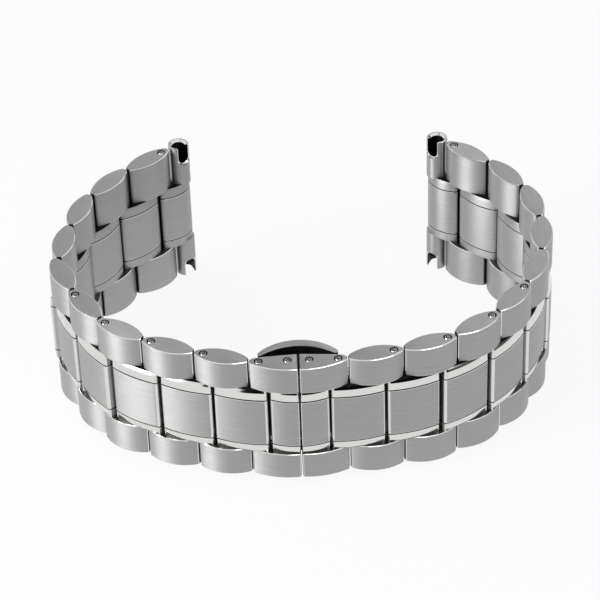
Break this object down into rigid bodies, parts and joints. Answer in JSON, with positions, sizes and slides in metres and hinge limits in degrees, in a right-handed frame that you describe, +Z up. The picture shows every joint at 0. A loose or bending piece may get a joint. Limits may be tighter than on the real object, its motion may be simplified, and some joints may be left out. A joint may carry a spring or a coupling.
{
  "type": "link watch bracelet",
  "caption": "Three-row link watch bracelet of hinged steel links, tapering from tubular end pieces to a folding clasp with push buttons.",
  "frame": {"origin": "centre of the bounding box in X and Y, on the edge that the bracelet stands on", "axes": "+Z up along every hinge pin; +X to the right seen from the clasp; +Y from the clasp to the end pieces for the watch"},
  "size_m": [0.0674, 0.0504, 0.022],
  "materials": {
    "satin_steel": "satin, brushed along the strap",
    "polished_steel": "polished"
  },
  "bodies": {
    "clasp_base": {"clasp_base_plate": "polished_steel", "clasp_hinge_pins": "polished_steel"},
    "arm_left": {"folding_arm_left": "polished_steel"},
    "half_link_left": {"clasp_outer_links_left": "satin_steel", "clasp_centre_block_left": "satin_steel"},
    "link_left_1": {"centre_link_left_1": "satin_steel", "outer_links_left_1": "satin_steel"},
    "link_left_2": {"centre_link_left_2": "satin_steel", "outer_links_left_2": "satin_steel"},
    "link_left_3": {"centre_link_left_3": "satin_steel", "outer_links_left_3": "satin_steel"},
    "link_left_4": {"centre_link_left_4": "satin_steel", "outer_links_left_4": "satin_steel"},
    "link_left_5": {"centre_link_left_5": "satin_steel", "outer_links_left_5": "satin_steel"},
    "link_left_6": {"centre_link_left_6": "satin_steel", "outer_links_left_6": "satin_steel"},
    "link_left_7": {"centre_link_left_7": "satin_steel", "outer_links_left_7": "satin_steel"},
    "link_left_8": {"centre_link_left_8": "satin_steel", "outer_links_left_8": "satin_steel"},
    "link_left_9": {"centre_link_left_9": "satin_steel", "outer_links_left_9": "satin_steel"},
    "end_left": {"end_piece_left": "satin_steel"},
    "arm_right": {"folding_arm_right": "polished_steel"},
    "half_link_right": {"clasp_outer_links_right": "satin_steel", "clasp_centre_block_right": "satin_steel"},
    "link_right_1": {"centre_link_right_1": "satin_steel", "outer_links_right_1": "satin_steel"},
    "link_right_2": {"centre_link_right_2": "satin_steel", "outer_links_right_2": "satin_steel"},
    "link_right_3": {"centre_link_right_3": "satin_steel", "outer_links_right_3": "satin_steel"},
    "link_right_4": {"centre_link_right_4": "satin_steel", "outer_links_right_4": "satin_steel"},
    "link_right_5": {"centre_link_right_5": "satin_steel", "outer_links_right_5": "satin_steel"},
    "link_right_6": {"centre_link_right_6": "satin_steel", "outer_links_right_6": "satin_steel"},
    "link_right_7": {"centre_link_right_7": "satin_steel", "outer_links_right_7": "satin_steel"},
    "link_right_8": {"centre_link_right_8": "satin_steel", "outer_links_right_8": "satin_steel"},
    "link_right_9": {"centre_link_right_9": "satin_steel", "outer_links_right_9": "satin_steel"},
    "end_right": {"end_piece_right": "satin_steel"},
    "button_upper": {"release_button_upper": "polished_steel"},
    "button_lower": {"release_button_lower": "polished_steel"}
  },
  "joints": [
    {"name": "arm_left_hinge", "type": "hinge", "parent": "clasp_base", "child": "arm_left", "pos_m": [-0.01207, -0.01841, 0.011], "axis": [0, 0, -1], "range_deg": [0, 120]},
    {"name": "half_link_left_hinge", "type": "hinge", "parent": "arm_left", "child": "half_link_left", "pos_m": [-0.00246, -0.02309, 0.011], "axis": [0, 0, -1], "range_deg": [-120, 0]},
    {"name": "link_left_1_hinge", "type": "hinge", "parent": "half_link_left", "child": "link_left_1", "pos_m": [-0.00614, -0.02321, 0.011], "axis": [0, 0, -1], "range_deg": [-17, 3]},
    {"name": "link_left_2_hinge", "type": "hinge", "parent": "link_left_1", "child": "link_left_2", "pos_m": [-0.01309, -0.02134, 0.011], "axis": [0, 0, 1], "range_deg": [-28, 15]},
    {"name": "link_left_3_hinge", "type": "hinge", "parent": "link_left_2", "child": "link_left_3", "pos_m": [-0.01977, -0.01865, 0.011], "axis": [0, 0, -1], "range_deg": [-20, 23]},
    {"name": "link_left_4_hinge", "type": "hinge", "parent": "link_left_3", "child": "link_left_4", "pos_m": [-0.02574, -0.01462, 0.011], "axis": [0, 0, 1], "range_deg": [-13, 30]},
    {"name": "link_left_5_hinge", "type": "hinge", "parent": "link_left_4", "child": "link_left_5", "pos_m": [-0.02977, -0.00865, 0.011], "axis": [0, 0, -1], "range_deg": [-20, 23]},
    {"name": "link_left_6_hinge", "type": "hinge", "parent": "link_left_5", "child": "link_left_6", "pos_m": [-0.03246, -0.00197, 0.011], "axis": [0, 0, 1], "range_deg": [-4, 39]},
    {"name": "link_left_7_hinge", "type": "hinge", "parent": "link_left_6", "child": "link_left_7", "pos_m": [-0.03134, 0.00514, 0.011], "axis": [0, 0, -1], "range_deg": [-18, 25]},
    {"name": "link_left_8_hinge", "type": "hinge", "parent": "link_left_7", "child": "link_left_8", "pos_m": [-0.02899, 0.01194, 0.011], "axis": [0, 0, 1], "range_deg": [-15, 28]},
    {"name": "link_left_9_hinge", "type": "hinge", "parent": "link_left_8", "child": "link_left_9", "pos_m": [-0.02446, 0.01754, 0.011], "axis": [0, 0, -1], "range_deg": [-21, 22]},
    {"name": "end_left_hinge", "type": "hinge", "parent": "link_left_9", "child": "end_left", "pos_m": [-0.01879, 0.02197, 0.011], "axis": [0, 0, 1], "range_deg": [-33, 10]},
    {"name": "arm_right_hinge", "type": "hinge", "parent": "clasp_base", "child": "arm_right", "pos_m": [0.00993, -0.01841, 0.011], "axis": [0, 0, 1], "range_deg": [0, 120]},
    {"name": "half_link_right_hinge", "type": "hinge", "parent": "arm_right", "child": "half_link_right", "pos_m": [0.00032, -0.02309, 0.011], "axis": [0, 0, 1], "range_deg": [-120, 0]},
    {"name": "link_right_1_hinge", "type": "hinge", "parent": "half_link_right", "child": "link_right_1", "pos_m": [0.004, -0.02321, 0.011], "axis": [0, 0, 1], "range_deg": [-10, 10]},
    {"name": "link_right_2_hinge", "type": "hinge", "parent": "link_right_1", "child": "link_right_2", "pos_m": [0.01113, -0.0222, 0.011], "axis": [0, 0, -1], "range_deg": [-28, 15]},
    {"name": "link_right_3_hinge", "type": "hinge", "parent": "link_right_2", "child": "link_right_3", "pos_m": [0.01809, -0.02034, 0.011], "axis": [0, 0, 1], "range_deg": [-26, 17]},
    {"name": "link_right_4_hinge", "type": "hinge", "parent": "link_right_3", "child": "link_right_4", "pos_m": [0.02413, -0.01642, 0.011], "axis": [0, 0, -1], "range_deg": [-18, 25]},
    {"name": "link_right_5_hinge", "type": "hinge", "parent": "link_right_4", "child": "link_right_5", "pos_m": [0.02876, -0.0109, 0.011], "axis": [0, 0, 1], "range_deg": [-24, 19]},
    {"name": "link_right_6_hinge", "type": "hinge", "parent": "link_right_5", "child": "link_right_6", "pos_m": [0.03168, -0.00433, 0.011], "axis": [0, 0, -1], "range_deg": [-17, 26]},
    {"name": "link_right_7_hinge", "type": "hinge", "parent": "link_right_6", "child": "link_right_7", "pos_m": [0.03244, 0.00283, 0.011], "axis": [0, 0, 1], "range_deg": [-24, 19]},
    {"name": "link_right_8_hinge", "type": "hinge", "parent": "link_right_7", "child": "link_right_8", "pos_m": [0.03119, 0.00992, 0.011], "axis": [0, 0, -1], "range_deg": [-13, 30]},
    {"name": "link_right_9_hinge", "type": "hinge", "parent": "link_right_8", "child": "link_right_9", "pos_m": [0.02737, 0.01603, 0.011], "axis": [0, 0, 1], "range_deg": [-24, 19]},
    {"name": "end_right_hinge", "type": "hinge", "parent": "link_right_9", "child": "end_right", "pos_m": [0.02202, 0.02085, 0.011], "axis": [0, 0, -1], "range_deg": [-33, 10]},
    {"name": "button_upper_press", "type": "slide", "parent": "clasp_base", "child": "button_upper", "axis": [0, 0, -1], "range_m": [0, 0.0007], "stiffness_N_per_m": 2000, "springref_m": -0.0005},
    {"name": "button_lower_press", "type": "slide", "parent": "clasp_base", "child": "button_lower", "axis": [0, 0, 1], "range_m": [0, 0.0007], "stiffness_N_per_m": 2000, "springref_m": -0.0005}
  ],
  "couplings": [
    {"joint": "half_link_left_hinge", "follows": "arm_left_hinge", "ratio": -1},
    {"joint": "half_link_right_hinge", "follows": "arm_right_hinge", "ratio": -1}
  ]
}
